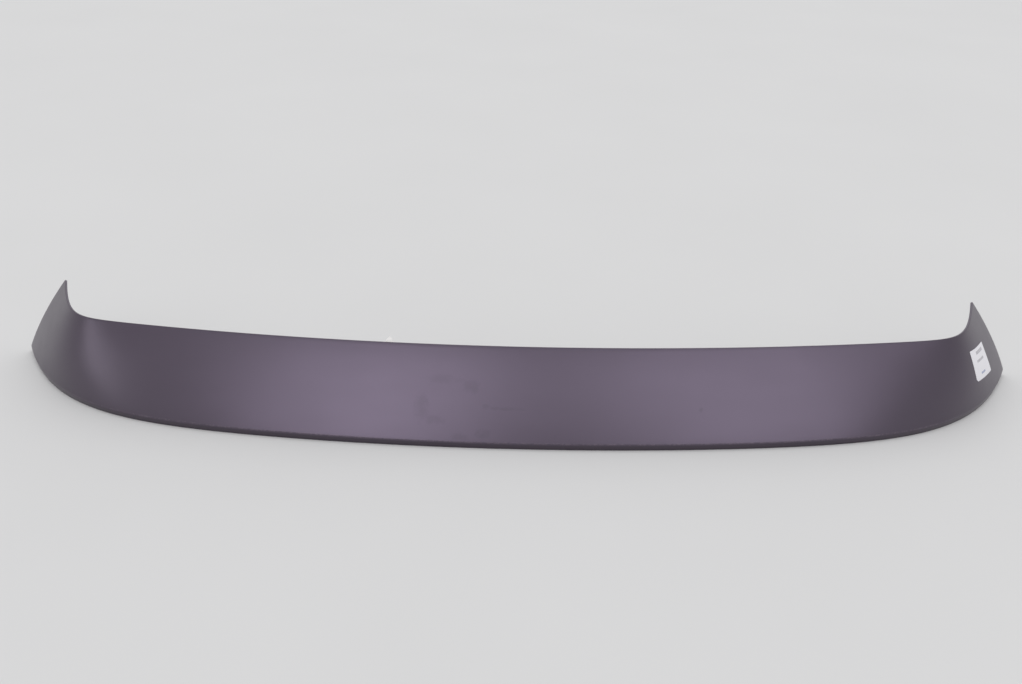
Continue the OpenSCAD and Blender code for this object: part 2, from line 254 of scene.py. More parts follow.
# %% The section point
def section_point():
    """Group that gives the point of the outer skin at a sweep and a rise."""
    net, given = new_group(
        "section_point", {"Sweep": 0.0, "Rise": 0.0, **SHAPE}, {"Point": "NodeSocketVector"})
    sweep, rise = given["Sweep"], given["Rise"]
    half_w, height, lip_h = given["Half Width"], given["Height"], given["Lip Height"]
    undercut, reach, setback = given["Undercut"], given["Fold Reach"], given["Setback"]

    lip_x = sweep * half_w
    share = abs(lip_x) / half_w
    lip_end = given["Depth"] - given["End Lean"]
    corner_rise = lip_end - half_w * half_w / (given["Lip Bow"] * 2)
    lip_y = lip_x * lip_x / (given["Lip Bow"] * 2) + corner_rise * share ** given["Lip Power"]
    turning = corner_rise * given["Lip Power"] / half_w * share ** (given["Lip Power"] - 1)
    slope = lip_x / given["Lip Bow"] + net.maths("SIGN", lip_x) * turning
    out_length = net.maths("SQRT", slope * slope + 1)
    out_x, out_y = slope / out_length, -1 / out_length

    edge_x = lip_x * (1 - (1 - given["Tip"] / half_w) * share ** given["Pairing"])
    past = (abs(edge_x) - (half_w - given["Corner Inset"])) / given["Edge Turn"]
    turned = net.maths("LOGARITHM", net.maths("EXPONENT", past) + 1, math.e) * given["Edge Turn"]
    edge_line = setback + edge_x * edge_x / (given["Edge Bow"] * 2) + given["Ear Slope"] * turned

    climb = height - lip_h
    length = net.maths("SQRT", setback * setback + climb * climb)
    up = net.maths("MAXIMUM", rise, reach) / length
    bulge = given["Crown"] * 4 * up * (1 - up)
    face = (lip_x * (1 - up) + edge_x * up + out_x * bulge,
            lip_y * (1 - up) + edge_line * up + out_y * bulge,
            lip_h + climb * up)

    band = net.maths("SQRT", undercut * undercut + lip_h * lip_h)
    turn = ((rise + reach) / (reach * 2)).clip(0, 1)
    drop = reach * (1 - turn) ** 2 + (0 - reach - rise).clip(0, band - reach)
    crease = (lip_x, lip_y, lip_h)
    down = (0 - out_x * undercut / band, 0 - out_y * undercut / band, 0 - lip_h / band)

    away = (edge_x - lip_x, edge_line - lip_y)
    reach_in = (undercut + given["Flange Width"]) / net.maths(
        "SQRT", away[0] * away[0] + away[1] * away[1])
    foot = (lip_x - out_x * undercut, lip_y - out_y * undercut)
    tip = (lip_x + away[0] * reach_in, lip_y + away[1] * reach_in)
    inset = (0 - band - rise) / given["Flange Width"]
    flange = (foot[0] + (tip[0] - foot[0]) * inset, foot[1] + (tip[1] - foot[1]) * inset, 0)
    on_flange = rise < (0 - band)

    point = []
    for crease_at, face_at, down_at, flange_at in zip(crease, face, down, flange):
        skin_at = crease_at * (1 - turn * turn) + face_at * (turn * turn) + down_at * drop
        point.append(skin_at * (1 - on_flange) + on_flange * flange_at)
    net.add("NodeGroupOutput", {"Point": net.point(*point)})
    return net.tree


section = section_point()
print("nodes in the section group:", len(section.nodes))

# %% [markdown]
# Everything that follows the skin can now be drawn flat, with sweep, rise and depth
# below the skin as its three coordinates, and be wrapped on the part by one modifier.
# The normal comes from four neighbours. This keeps walls, strips and labels parallel to
# the face without any sculpting.

# %% The wrapping tree
SWEEP_STEP = 0.001
RISE_STEP = 0.25 * MM


def wrapping():
    """Tree that moves flat points (sweep, rise, depth) to their places on the spoiler."""
    net, given = new_group(
        "wrap_on_spoiler",
        {"Geometry": None, "Middle": 0.0, **SHAPE, "Material": bpy.types.Material},
        {"Geometry": "NodeSocketGeometry"})
    sweep, rise, depth = net.parts(net.add("GeometryNodeInputPosition"))

    def skin(at_sweep, at_rise):
        sizes = {label: given[label] for label in SHAPE}
        return net.add("GeometryNodeGroup", {"Sweep": at_sweep, "Rise": at_rise, **sizes},
                       node_tree=section)

    across = net.vector("SUBTRACT", skin(sweep + SWEEP_STEP, rise), skin(sweep - SWEEP_STEP, rise))
    along = net.vector("SUBTRACT", skin(sweep, rise + RISE_STEP), skin(sweep, rise - RISE_STEP))
    normal = net.vector("NORMALIZE", net.vector("CROSS_PRODUCT", across, along))
    inward = net.vector("SCALE", normal, 0 - depth)
    middle = net.point(0, 0 - given["Middle"], 0)
    place = net.vector("ADD", net.vector("ADD", skin(sweep, rise), inward), middle)
    moved = net.add("GeometryNodeSetPosition", {"Geometry": given["Geometry"], "Position": place})
    return hand_out(net, moved, given["Material"])


wrap_tree = wrapping()


def new_piece(name, points, faces=()):
    """A mesh object from points and faces."""
    mesh = bpy.data.meshes.new(name)
    mesh.from_pydata([tuple(point) for point in points], [], [tuple(face) for face in faces])
    piece = bpy.data.objects.new(name, mesh)
    scene.collection.objects.link(piece)
    return piece


def add_tree(piece, tree, **values):
    """Puts a tree on a piece and sets its inputs by their identifiers."""
    modifier = piece.modifiers.new(tree.name, "NODES")
    modifier.node_group = tree
    sockets = {item.name: item.identifier
               for item in tree.interface.items_tree if item.in_out == "INPUT"}
    for label, value in values.items():
        modifier[sockets[label]] = value


def settle(piece):
    """Makes what the modifiers show the piece's own plain mesh."""
    bpy.context.view_layer.update()
    seen = piece.evaluated_get(bpy.context.evaluated_depsgraph_get())
    made = bpy.data.meshes.new_from_object(seen)
    piece.modifiers.clear()
    piece.data = made
    made.name = piece.name
    return piece


def wrap(piece, middle):
    """Wraps a flat piece on the spoiler."""
    add_tree(piece, wrap_tree, Middle=middle)
    return settle(piece)


def probe(places, middle):
    """Where places (sweep, rise, depth) lie on the part, as rows of x, y, z."""
    flat = wrap(new_piece("probe", places), middle)
    found = np.array([vertex.co for vertex in flat.data.vertices])
    bpy.data.objects.remove(flat)
    return found


# %% [markdown]
# The part's frame has its origin in the middle of the box, so the curves are moved back
# by half the depth. The solid shell's own box says by how much.

# %% Line up with the frame
FRONT_PROBES = 41
front_top = SHAPE["Fold Reach"] * 4
front_rises = np.linspace(-band_length, front_top, FRONT_PROBES)
front_line = probe([(0, rise, 0) for rise in front_rises], 0.0)
MIDDLE = float(front_line[:, 1].min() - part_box("spoiler_shell")[0].y)
print("the plan is moved by", round(MIDDLE / MM, 2), "mm")

# %% [markdown]
# Later steps know where a piece sits in x and z, and need its sweep. Solving the
# formulas backwards would be hard. It is easier to wrap one fine row of points, and to
# read the sweep off that row.

# %% Finding places on the face
SWEEP_PROBES = 4001
SWEEP_PLACES = np.linspace(-1, 1, SWEEP_PROBES)


def rise_at(z):
    """Rise of a height on the face."""
    return (z - SHAPE["Lip Height"]) / face_rise * face_length


def sweep_at(x, z):
    """Sweep of the face's points at x and height z, for one x or many."""
    line = probe([(sweep, rise_at(z), 0) for sweep in SWEEP_PLACES], MIDDLE)
    return np.interp(x, line[:, 0], SWEEP_PLACES)


print("sweep at x = 375 mm, z = 50 mm:", round(float(sweep_at(375 * MM, 50 * MM)), 4))

# %% [markdown]
# ## The moulding
#
# A moulding has no knife edges: every corner has a small radius, which catches the light
# as a thin line. The section below is drawn flat, as (rise, depth) pairs, with an arc at
# the leading edge, at the foot, at the flange's edge and in the root behind the band.

# %% Arcs
FLANGE_ROUND = 0.6 * MM
ROOT_ROUND = 1.0 * MM


def arc(centre, radius, start_deg, end_deg, steps):
    """Points of a circle's arc."""
    turns = np.radians(np.linspace(start_deg, end_deg, steps + 1))
    return [(centre[0] + radius * math.cos(t), centre[1] + radius * math.sin(t)) for t in turns]


def fillet(corner, one, other, radius, steps):
    """Arc that joins two lines, which leave a corner along the unit vectors one and other."""
    corner, one, other = (np.array(pair, float) for pair in (corner, one, other))
    half = math.acos(one @ other) / 2
    middle = (one + other) / np.linalg.norm(one + other)
    centre = corner + middle * radius / math.sin(half)
    first, last = (corner + side * radius / math.tan(half) - centre for side in (one, other))
    whole = math.pi - 2 * half
    return [tuple(centre + (first * math.sin((1 - k) * whole) + last * math.sin(k * whole))
                  / math.sin(whole))
            for k in np.linspace(0, 1, steps + 1)]


# %% Section of the moulding
FOLD_STEPS = 12
FACE_STEPS = 34
FOLD_INNER_STEPS = 8
INNER_STEPS = 24
BAND_STEPS = 4
ARC_STEPS = 6
SMALL_ARC_STEPS = 4

lean = SHAPE["Undercut"] / band_length
upright = SHAPE["Lip Height"] / band_length
along_flange = (-lean, upright)
foot_level = -band_length
flange_level = foot_level - SHAPE["Flange Width"]
root_along = (FLANGE_T - WALL * lean) / upright


def foot_arc():
    """Rounded foot, mirrored about the line between band and flange."""
    whole = fillet((0, 0), along_flange, (1, 0), FOOT_ROUND, ARC_STEPS)
    band_half = whole[ARC_STEPS // 2 + 1:]
    below = [(foot_level - along, depth) for along, depth in reversed(band_half)]
    middle = [(foot_level, math.hypot(*whole[ARC_STEPS // 2]))]
    return below + middle + [(foot_level + along, depth) for along, depth in band_half]


def root_arc():
    """Rounded root between the band's inner side and the top of the flange."""
    whole = fillet((root_along, WALL), (1, 0), along_flange, ROOT_ROUND, ARC_STEPS)
    return [(foot_level + along, depth) for along, depth in whole]


def moulding_section():
    """Closed line of (rise, depth) pairs round the moulding's wall."""
    foot, root = foot_arc(), root_arc()
    fold, reach = SHAPE["Fold Reach"], face_length - EDGE_ROUND
    shelf = flange_level + FLANGE_ROUND

    def run(start, end, steps, depth):
        return [(rise, depth) for rise in np.linspace(start, end, steps + 1)]

    line = foot + run(foot[-1][0], -fold, BAND_STEPS, 0)[1:-1]
    line += run(-fold, fold, FOLD_STEPS, 0)
    line += run(fold, reach, FACE_STEPS, 0)[1:-1]
    line += arc((reach, EDGE_ROUND), EDGE_ROUND, -90, 0, ARC_STEPS)
    line += arc((reach, WALL - EDGE_ROUND), EDGE_ROUND, 0, 90, ARC_STEPS)
    line += run(reach, fold, INNER_STEPS, WALL)[1:-1]
    line += run(fold, -fold, FOLD_INNER_STEPS, WALL)
    line += root + run(foot_level, shelf, BAND_STEPS, FLANGE_T)[2:-1]
    line += arc((shelf, FLANGE_T - FLANGE_ROUND), FLANGE_ROUND, 90, 180, SMALL_ARC_STEPS)
    line += arc((shelf, FLANGE_ROUND), FLANGE_ROUND, 180, 270, SMALL_ARC_STEPS)
    return line + run(shelf, foot[0][0], BAND_STEPS, 0)[1:-1]


section_line = moulding_section()
print("points round the section:", len(section_line))

# %% [markdown]
# The section is repeated at some 280 stations along the sweep. They lie closer together
# towards the ears, where the plan bends. A cap closes each end, and its sharp rim is
# rounded off.

# %% Lofts and rounded edges
STATIONS = 281
CROWDING = 0.55
END_ROUND = 0.7 * MM
EDGE_STEPS = 3

even = np.linspace(-1, 1, STATIONS)
station_sweeps = (1 - CROWDING) * even + CROWDING * np.sin(even * math.pi / 2)


def bands(rings, gaps):
    """Faces that join each ring of points to the next, and past the last to the first."""
    count, total = len(rings[0]), len(rings) * len(rings[0])
    return [(r * count + k, r * count + (k + 1) % count,
             ((r + 1) * count + (k + 1) % count) % total, ((r + 1) * count + k) % total)
            for r in range(gaps) for k in range(count)]


def loft(name, rings):
    """Closed skin over rings of as many points each, with a cap at either end."""
    count, last = len(rings[0]), len(rings) - 1
    caps = [range(count), range(last * count, (last + 1) * count)]
    return new_piece(name, [point for ring in rings for point in ring], bands(rings, last) + caps)


def flat_loft(name, sweeps, line):
    """Flat solid that has the same (rise, depth) line at every sweep."""
    return loft(name, [[(sweep, rise, depth) for rise, depth in line] for sweep in sweeps])


def rework(piece, work=None):
    """Runs work on a piece's mesh, and turns every face outwards."""
    mesh = bmesh.new()
    mesh.from_mesh(piece.data)
    bmesh.ops.recalc_face_normals(mesh, faces=mesh.faces)
    if work:
        work(mesh)
        bmesh.ops.recalc_face_normals(mesh, faces=mesh.faces)
    mesh.to_mesh(piece.data)
    mesh.free()
    return piece


def round_edges(piece, chosen, radius):
    """Rounds the edges that the test chosen picks."""
    def work(mesh):
        edges = [edge for edge in mesh.edges if chosen(edge)]
        bmesh.ops.bevel(mesh, geom=edges, offset=radius, segments=EDGE_STEPS,
                        profile=0.5, affect="EDGES")
    return rework(piece, work)


def on_cap(edge):
    return any(len(face.verts) > 4 for face in edge.link_faces)


def join(name, parts):
    """One piece from several."""
    mesh = bmesh.new()
    for part in parts:
        mesh.from_mesh(part.data)
        bpy.data.objects.remove(part)
    whole = new_piece(name, [])
    mesh.to_mesh(whole.data)
    mesh.free()
    return whole


def combine(body, tool, operation):
    """Unites a body with a tool, or cuts the tool out of it."""
    step = body.modifiers.new(operation.lower(), "BOOLEAN")
    step.operation = operation
    step.object = tool
    step.solver = "MANIFOLD"
    settle(body)
    bpy.data.objects.remove(tool)
    return body


moulding = wrap(flat_loft("moulding", station_sweeps, section_line), MIDDLE)
round_edges(moulding, on_cap, END_ROUND)
print("moulding skin:", len(moulding.data.polygons), "faces")

# %% [markdown]
# ## Ribs
#
# Ribs keep the long lip from bending. Each stands in a section of the part, from the
# flange's edge up to a point on the wall. A rib is thicker at its root than at its free
# edge, because the mould has to let go of it.

# %% Ribs
RIB_PITCH = 62.5 * MM
RIB_COUNT = 7
EAR_RIB_INSET = 24 * MM
RIB_TOP = 58 * MM
RIB_ROOT_T = 2.2 * MM
RIB_EDGE_T = 1.7 * MM
RIB_ROUND = 0.6 * MM
RIB_PLACES = 9


def speed_at(sweep):
    """Metres of lip for each unit of sweep."""
    ends = probe([(sweep - SWEEP_STEP, 0, 0), (sweep + SWEEP_STEP, 0, 0)], MIDDLE)
    return float(np.linalg.norm(ends[1] - ends[0]) / (2 * SWEEP_STEP))


def rib(sweep):
    """One upright rib."""
    high = rise_at(RIB_TOP)
    line = [(flange_level + FOOT_ROUND, FLANGE_T / 2, RIB_EDGE_T)]
    line += [(foot_level - WALL / 2, FLANGE_T / 2, RIB_ROOT_T)]
    wall_rises = np.linspace(SHAPE["Fold Reach"], high, RIB_PLACES)
    line += [(rise, WALL / 2, RIB_ROOT_T) for rise in wall_rises]
    speed = speed_at(sweep)
    sides = [[(sweep + side * thick / 2 / speed, rise, depth) for rise, depth, thick in line]
             for side in (-1, 1)]
    piece = wrap(loft("rib", sides), MIDDLE)
    count = len(line)
    free = {frozenset((0, count - 1)), frozenset((count, 2 * count - 1))}
    return round_edges(piece, lambda edge: frozenset(v.index for v in edge.verts) in free, RIB_ROUND)


rib_xs = [i * RIB_PITCH for i in range(-RIB_COUNT, RIB_COUNT + 1)]
rib_xs += [side * (SHAPE["Half Width"] - EAR_RIB_INSET) for side in (-1, 1)]
ribs = [rib(x / SHAPE["Half Width"]) for x in rib_xs]
combine(moulding, join("ribs", ribs), "UNION")
print("ribs:", len(rib_xs), "with", len(moulding.data.polygons), "faces in all")

# %% [markdown]
# One long rib runs the other way, along the wall and just below the strips of tape. It
# ends short of the outer foam rings.

# %% Long rib
TAPE_DROP = 6 * MM
TAPE_W = 12 * MM
LONG_RIB_GAP = 8 * MM
LONG_RIB_DEPTH = 9 * MM
LONG_RIB_END = 352 * MM

tape_high = face_length - TAPE_DROP
tape_low = tape_high - TAPE_W


def between(from_x, to_x):
    """Sweeps from one x to another along the leading edge, with the stations between."""
    first, last = sweep_at([from_x, to_x], SHAPE["Height"])
    inside = [s for s in station_sweeps if first + SWEEP_STEP < s < last - SWEEP_STEP]
    return [first, *inside, last]


def long_rib():
    high = tape_low - LONG_RIB_GAP
    low = high - RIB_ROOT_T
    narrow = (RIB_ROOT_T - RIB_EDGE_T) / 2
    back = WALL + LONG_RIB_DEPTH
    line = [(low, WALL / 2), (low, WALL)]
    line += arc((low + narrow + RIB_ROUND, back - RIB_ROUND), RIB_ROUND, 180, 90, EDGE_STEPS)
    line += arc((high - narrow - RIB_ROUND, back - RIB_ROUND), RIB_ROUND, 90, 0, EDGE_STEPS)
    line += [(high, WALL), (high, WALL / 2)]
    piece = wrap(flat_loft("long_rib", between(-LONG_RIB_END, LONG_RIB_END), line), MIDDLE)
    return round_edges(piece, on_cap, RIB_ROUND / 2)


combine(moulding, long_rib(), "UNION")
print("moulding with its long rib:", len(moulding.data.polygons), "faces")

# %% [markdown]
# ## Bosses, pins and houses
#
# A boss is a column that grows out of the slanted wall and ends in a flat seat. To start
# it inside the wall, each point of its outline is looked up on the wall: a guess at its
# sweep and rise is corrected a few times, until it gives the right x and z.

# %% Columns behind the wall
CORRECTIONS = 6
ROUND_STEPS = 48
STUD_Z = 50 * MM
STUD_XS = [x * MM for x in (-375, -125, 125, 375)]
PIN_XS = [x * MM for x in (-250, 250)]
BOSS_R = 10 * MM
PIN_BOSS_R = 6.5 * MM
PIN_R = 4 * MM
PIN_LEN = 14 * MM
PIN_CHAMFER = 1 * MM
PIN_SINK = 2 * MM
PIN_TAPER = 0.1 * MM
HOUSE_ROUND = 2 * MM
ROOT_FLARE = 1.4 * MM
FLARE_SHARES = (0, 0.3, 0.6, 1)
RIM_ROUND = 0.5 * MM
seat_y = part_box("stud_seal_1")[0].y


def wall_y(places, depth):
    """The y of the wall at this depth behind each place (x, z)."""
    xs, zs = np.array(places).T
    sweeps, rises = xs / SHAPE["Half Width"], rise_at(zs)
    for turn in range(CORRECTIONS):
        found = probe([(s, r, depth) for s, r in zip(sweeps, rises)], MIDDLE)
        sweeps = sweeps + (xs - found[:, 0]) / SHAPE["Half Width"]
        rises = rises + (zs - found[:, 2]) * face_length / face_rise
    return found[:, 1]


def circle(x, z, radius, steps=ROUND_STEPS):
    return arc((x, z), radius, 0, 360 - 360 / steps, steps - 1)


def rounded_square(x, z, half):
    reach = half - HOUSE_ROUND
    places = []
    for a, b, turn in [(1, 1, 0), (-1, 1, 90), (-1, -1, 180), (1, -1, 270)]:
        centre = (x + a * reach, z + b * reach)
        places += arc(centre, HOUSE_ROUND, turn, turn + 90, ARC_STEPS)
    return places


def column(name, outline, size, top):
    """Column from inside the wall to a flat top, with a flared root and a rounded rim."""
    foot = outline(size + ROOT_FLARE)
    rings = [[(x, y, z) for (x, z), y in zip(foot, wall_y(foot, WALL / 2))]]
    for share in FLARE_SHARES:
        places = outline(size + ROOT_FLARE * (1 - share) ** 2)
        heights = wall_y(places, WALL) + ROOT_FLARE * share
        rings.append([(x, y, z) for (x, z), y in zip(places, heights)])
    for narrower, higher in arc((RIM_ROUND, -RIM_ROUND), RIM_ROUND, 180, 90, SMALL_ARC_STEPS):
        rings.append([(x, top + higher, z) for x, z in outline(size - narrower)])
    return rework(loft(name, rings))


def turned(name, x, z, stations, steps=ROUND_STEPS):
    """Round solid along Y from (radius, y) stations."""
    rings = [[(px, y, pz) for px, pz in circle(x, z, radius, steps)] for radius, y in stations]
    return rework(loft(name, rings))


def round_column(name, x, radius):
    return column(name, lambda size: circle(x, STUD_Z, size), radius, seat_y)


def pin(x):
    """Locating pin, sunk in its boss, with a rounded chamfer at its tip."""
    end = seat_y + PIN_LEN
    return turned("pin", x, STUD_Z, [
        (PIN_R + PIN_TAPER, seat_y - PIN_SINK), (PIN_R, end - PIN_CHAMFER),
        (PIN_R - 0.3 * PIN_CHAMFER, end - 0.4 * PIN_CHAMFER), (PIN_R - PIN_CHAMFER, end)])


columns = [round_column("boss", x, BOSS_R) for x in STUD_XS]
columns += [round_column("pin_boss", x, PIN_BOSS_R) for x in PIN_XS]
pins = [pin(x) for x in PIN_XS]
print("columns:", len(columns), "and pins:", len(pins))

# %% [markdown]
# Each ear is held by a push clip, and the moulding carries a square house for it: a
# column with a slot that the clip's head slides into from the side. The slot could be
# modelled face by face. Cutting it out of the finished column, like the bores for the
# studs, gives the same crisp corners with far less work.

# %% Houses for the clips
CLIP_Z = 42 * MM
CLIP_HOUSE_W = 24 * MM
CLIP_HEAD_R = 8 * MM
CLIP_HEAD_T = 2 * MM
CLIP_STEM_R = 3 * MM
CLIP_FLOOR_T = 2.4 * MM
CLIP_GAP = 0.2 * MM
STUD_HELD = 12 * MM
BORE_R = 3.05 * MM

clip_boxes = [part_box("ear_clip_left"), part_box("ear_clip_right")]
clip_xs = [(low.x + high.x) / 2 for low, high in clip_boxes]
clip_head_y = clip_boxes[0][0].y
clip_seat_y = clip_head_y + CLIP_HEAD_T + CLIP_GAP + CLIP_FLOOR_T
columns += [column("house", lambda half, x=x: rounded_square(x, CLIP_Z, half),
                   CLIP_HOUSE_W / 2, clip_seat_y)
            for x in clip_xs]


def slot(x, radius, from_y, to_y):
    """Cutter for a slot that is round outboard and open inboard."""
    side = 1 if x > 0 else -1
    inboard = x - side * CLIP_HOUSE_W
    half_circle = arc((x, CLIP_Z), radius, -90, 90, ROUND_STEPS // 2)
    outline = [(x + side * (px - x), z) for px, z in half_circle]
    outline += [(inboard, CLIP_Z + radius), (inboard, CLIP_Z - radius)]
    return rework(loft("slot", [[(px, y, z) for px, z in outline] for y in (from_y, to_y)]))


pocket_y = (clip_head_y - CLIP_GAP, clip_head_y + CLIP_HEAD_T + CLIP_GAP)
pockets = [slot(x, CLIP_HEAD_R + CLIP_GAP, *pocket_y) for x in clip_xs]
necks = [slot(x, CLIP_STEM_R + CLIP_GAP, clip_head_y, clip_seat_y + WALL) for x in clip_xs]
bore_line = [(BORE_R, seat_y - STUD_HELD), (BORE_R, seat_y + WALL)]
bores = [turned("bore", x, STUD_Z, bore_line) for x in STUD_XS]
combine(moulding, join("columns", columns), "UNION")
combine(moulding, join("pins", pins), "UNION")
combine(moulding, join("pockets", pockets), "DIFFERENCE")
combine(moulding, join("necks", necks + bores), "DIFFERENCE")
print("finished moulding:", len(moulding.data.polygons), "faces")

# %% [markdown]
# ## Studs, foam rings and clips
#
# These are the same piece several times over. Each is made once, round the Y axis, and a
# small tree puts a copy at every point, turned a little, as screwed-in parts are.

# %% Copies at points
def repeating():
    """Tree that puts a copy of a piece at every point."""
    net, given = new_group(
        "repeat_at_points",
        {"Geometry": None, "Piece": bpy.types.Object, "Turn": 0.0, "Material": bpy.types.Material},
        {"Geometry": "NodeSocketGeometry"})
    source = net.add("GeometryNodeObjectInfo", {"Object": given["Piece"]}).out("Geometry")
    turn = net.add("FunctionNodeRandomValue", {"Min": 0.0, "Max": given["Turn"], "Seed": 3},
                   data_type="FLOAT")
    copies = net.add("GeometryNodeInstanceOnPoints", {"Points": given["Geometry"], "Instance": source,
                                                      "Rotation": net.point(0, turn, 0)})
    return hand_out(net, copies, given["Material"])


repeat_tree = repeating()


def repeat(name, piece, places, turn):
    """Copies of a piece at some places, as one piece."""
    spread = new_piece(name, places)
    add_tree(spread, repeat_tree, Piece=piece, Turn=turn)
    settle(spread)
    bpy.data.objects.remove(piece)
    return rework(spread)


# %% [markdown]
# The studs have an M6 thread with a pitch of 1 mm, and a hexagonal collar that is
# screwed down on the boss. A thread can be faked with stacked rings or a bump. Here the
# rows of points follow the helix, so the crests run out at the chamfered tip as they
# really do.

# %% Threaded studs
THREAD_PITCH = 1 * MM
THREAD_R = 3 * MM
THREAD_DEPTH = 0.613 * MM
THREAD_STEPS = 36
THREAD_WELD = 0.02 * MM
TURN_ROWS = 8
STUD_FREE = 20 * MM
COLLAR_T = 3 * MM
COLLAR_AF = 10 * MM
TIP_CHAMFER = 0.9 * MM
THREAD_SINK = 0.2 * MM
COLLAR_ROWS = (0, 0.12 * MM, 0.3 * MM, 0.5 * MM)
COLLAR_FACE = 0.97
RING_STEPS = 72
STUD_TURN = 2.0


def thread_depth(phase):
    """Depth of a 60 degree thread at a phase of its pitch: crest, flank, root, flank."""
    places = [0, 1 / 16, 7 / 16, 9 / 16, 15 / 16, 1]
    return np.interp(phase % 1, places, [0, 0, 1, 1, 0, 0]) * THREAD_DEPTH


def thread(start, end):
    """Threaded rod along Y, whose rows of points follow the helix."""
    pitches = int((end - start) / THREAD_PITCH) + 2
    rings = []
    for row in range(-TURN_ROWS, pitches * TURN_ROWS):
        ring = []
        for step in range(THREAD_STEPS):
            y = start + THREAD_PITCH * (row / TURN_ROWS + step / THREAD_STEPS)
            y = min(max(y, start), end)
            phase = (y - start) / THREAD_PITCH - step / THREAD_STEPS
            tip = THREAD_R - max(0, TIP_CHAMFER - (end - y))
            radius = min(THREAD_R - float(thread_depth(phase)), tip)
            angle = 2 * math.pi * step / THREAD_STEPS
            ring.append((radius * math.cos(angle), y, radius * math.sin(angle)))
        rings.append(ring)
    return rings


def threaded_rod(start, end):
    rod = loft("rod", thread(start, end))

    def work(mesh):
        bmesh.ops.remove_doubles(mesh, verts=mesh.verts, dist=THREAD_WELD)
    return rework(rod, work)


def hex_collar():
    """Hexagon across the flats, with both rims turned down to its inscribed circle."""
    slope = math.tan(math.radians(30))
    rings = []
    for y in [*COLLAR_ROWS, *(COLLAR_T - row for row in reversed(COLLAR_ROWS))]:
        ring = []
        for step in range(RING_STEPS):
            angle = 2 * math.pi * step / RING_STEPS
            wedge = (angle + math.pi / 6) % (math.pi / 3) - math.pi / 6
            flat = COLLAR_AF / 2 / math.cos(wedge)
            rim = COLLAR_AF / 2 * COLLAR_FACE + min(y, COLLAR_T - y) / slope
            radius = min(flat, rim)
            ring.append((radius * math.cos(angle), y, radius * math.sin(angle)))
        rings.append(ring)
    return rework(loft("collar", rings))


stud = join("stud", [threaded_rod(-STUD_HELD, THREAD_SINK), hex_collar(),
                     threaded_rod(COLLAR_T - THREAD_SINK, COLLAR_T + STUD_FREE)])
stud_places = [(x, seat_y, STUD_Z) for x in STUD_XS]
studs = repeat("mounting_studs", stud, stud_places, STUD_TURN)
print("studs:", len(studs.data.polygons), "faces")

# %% [markdown]
# A foam ring lies round each stud and is pressed flat on the tailgate, to keep water
# out. It is one closed line, turned round the stud's axis. A punch pinches soft foam
# while it cuts, so the sides are slightly hollow.

# %% Foam rings
SEAL_R = 15 * MM
SEAL_T = 5 * MM
SEAL_HOLE_R = 6.57 * MM
SEAL_ROUND = 0.35 * MM
SEAL_PINCH = 0.25 * MM
PINCH_SHARES = (0.7, 0.5, 0.3)
SEAL_TURN = 6.0


def foam_ring():
    """Ring punched from foam sheet: its sides pinch in slightly at mid thickness."""
    outside, inside = SEAL_R - SEAL_ROUND, SEAL_HOLE_R + SEAL_ROUND
    low, high = SEAL_ROUND, SEAL_T - SEAL_ROUND
    profile = arc((outside, high), SEAL_ROUND, 90, 0, EDGE_STEPS)
    profile += [(SEAL_R - SEAL_PINCH, SEAL_T * share) for share in PINCH_SHARES]
    profile += arc((outside, low), SEAL_ROUND, 0, -90, EDGE_STEPS)
    profile += arc((inside, low), SEAL_ROUND, 270, 180, EDGE_STEPS)
    profile += [(SEAL_HOLE_R + SEAL_PINCH, SEAL_T * share) for share in reversed(PINCH_SHARES)]
    profile += arc((inside, high), SEAL_ROUND, 180, 90, EDGE_STEPS)
    turns = np.linspace(0, 2 * math.pi, RING_STEPS, endpoint=False)
    rings = [[(r * math.cos(t), y, r * math.sin(t)) for r, y in profile] for t in turns]
    points = [point for ring in rings for point in ring]
    return rework(new_piece("foam_ring", points, bands(rings, RING_STEPS)))


seals = repeat("foam_rings", foam_ring(), stud_places, SEAL_TURN)
print("foam rings:", len(seals.data.polygons), "faces")

# %% [markdown]
# A push clip is round too, so it is turned from one line of radii and heights: the
# head, the neck, a dished collar and a stem with soft barbs. The barbs are full rings,
# and each has a short slope towards the head and a long one towards the tip.

# %% Push clips
CLIP_COLLAR_R = 9 * MM
CLIP_COLLAR_T = 1.2 * MM
CLIP_STEM_LEN = 20 * MM
CLIP_BARB_R = 4.4 * MM
CLIP_BARBS = 5
CLIP_ROUND = 0.3 * MM
CLIP_DISH = 2.5 * MM
BARB_LEAN = 0.25 * MM
BARB_SHARE = 0.42
# How the stem ends: share of its radius, and distance to the tip
CLIP_TIP = [(0.55, 1.0 * MM), (0.38, 0.2 * MM), (0.2, 0)]
CLIP_STEPS = 40
CLIP_TURN = 1.0


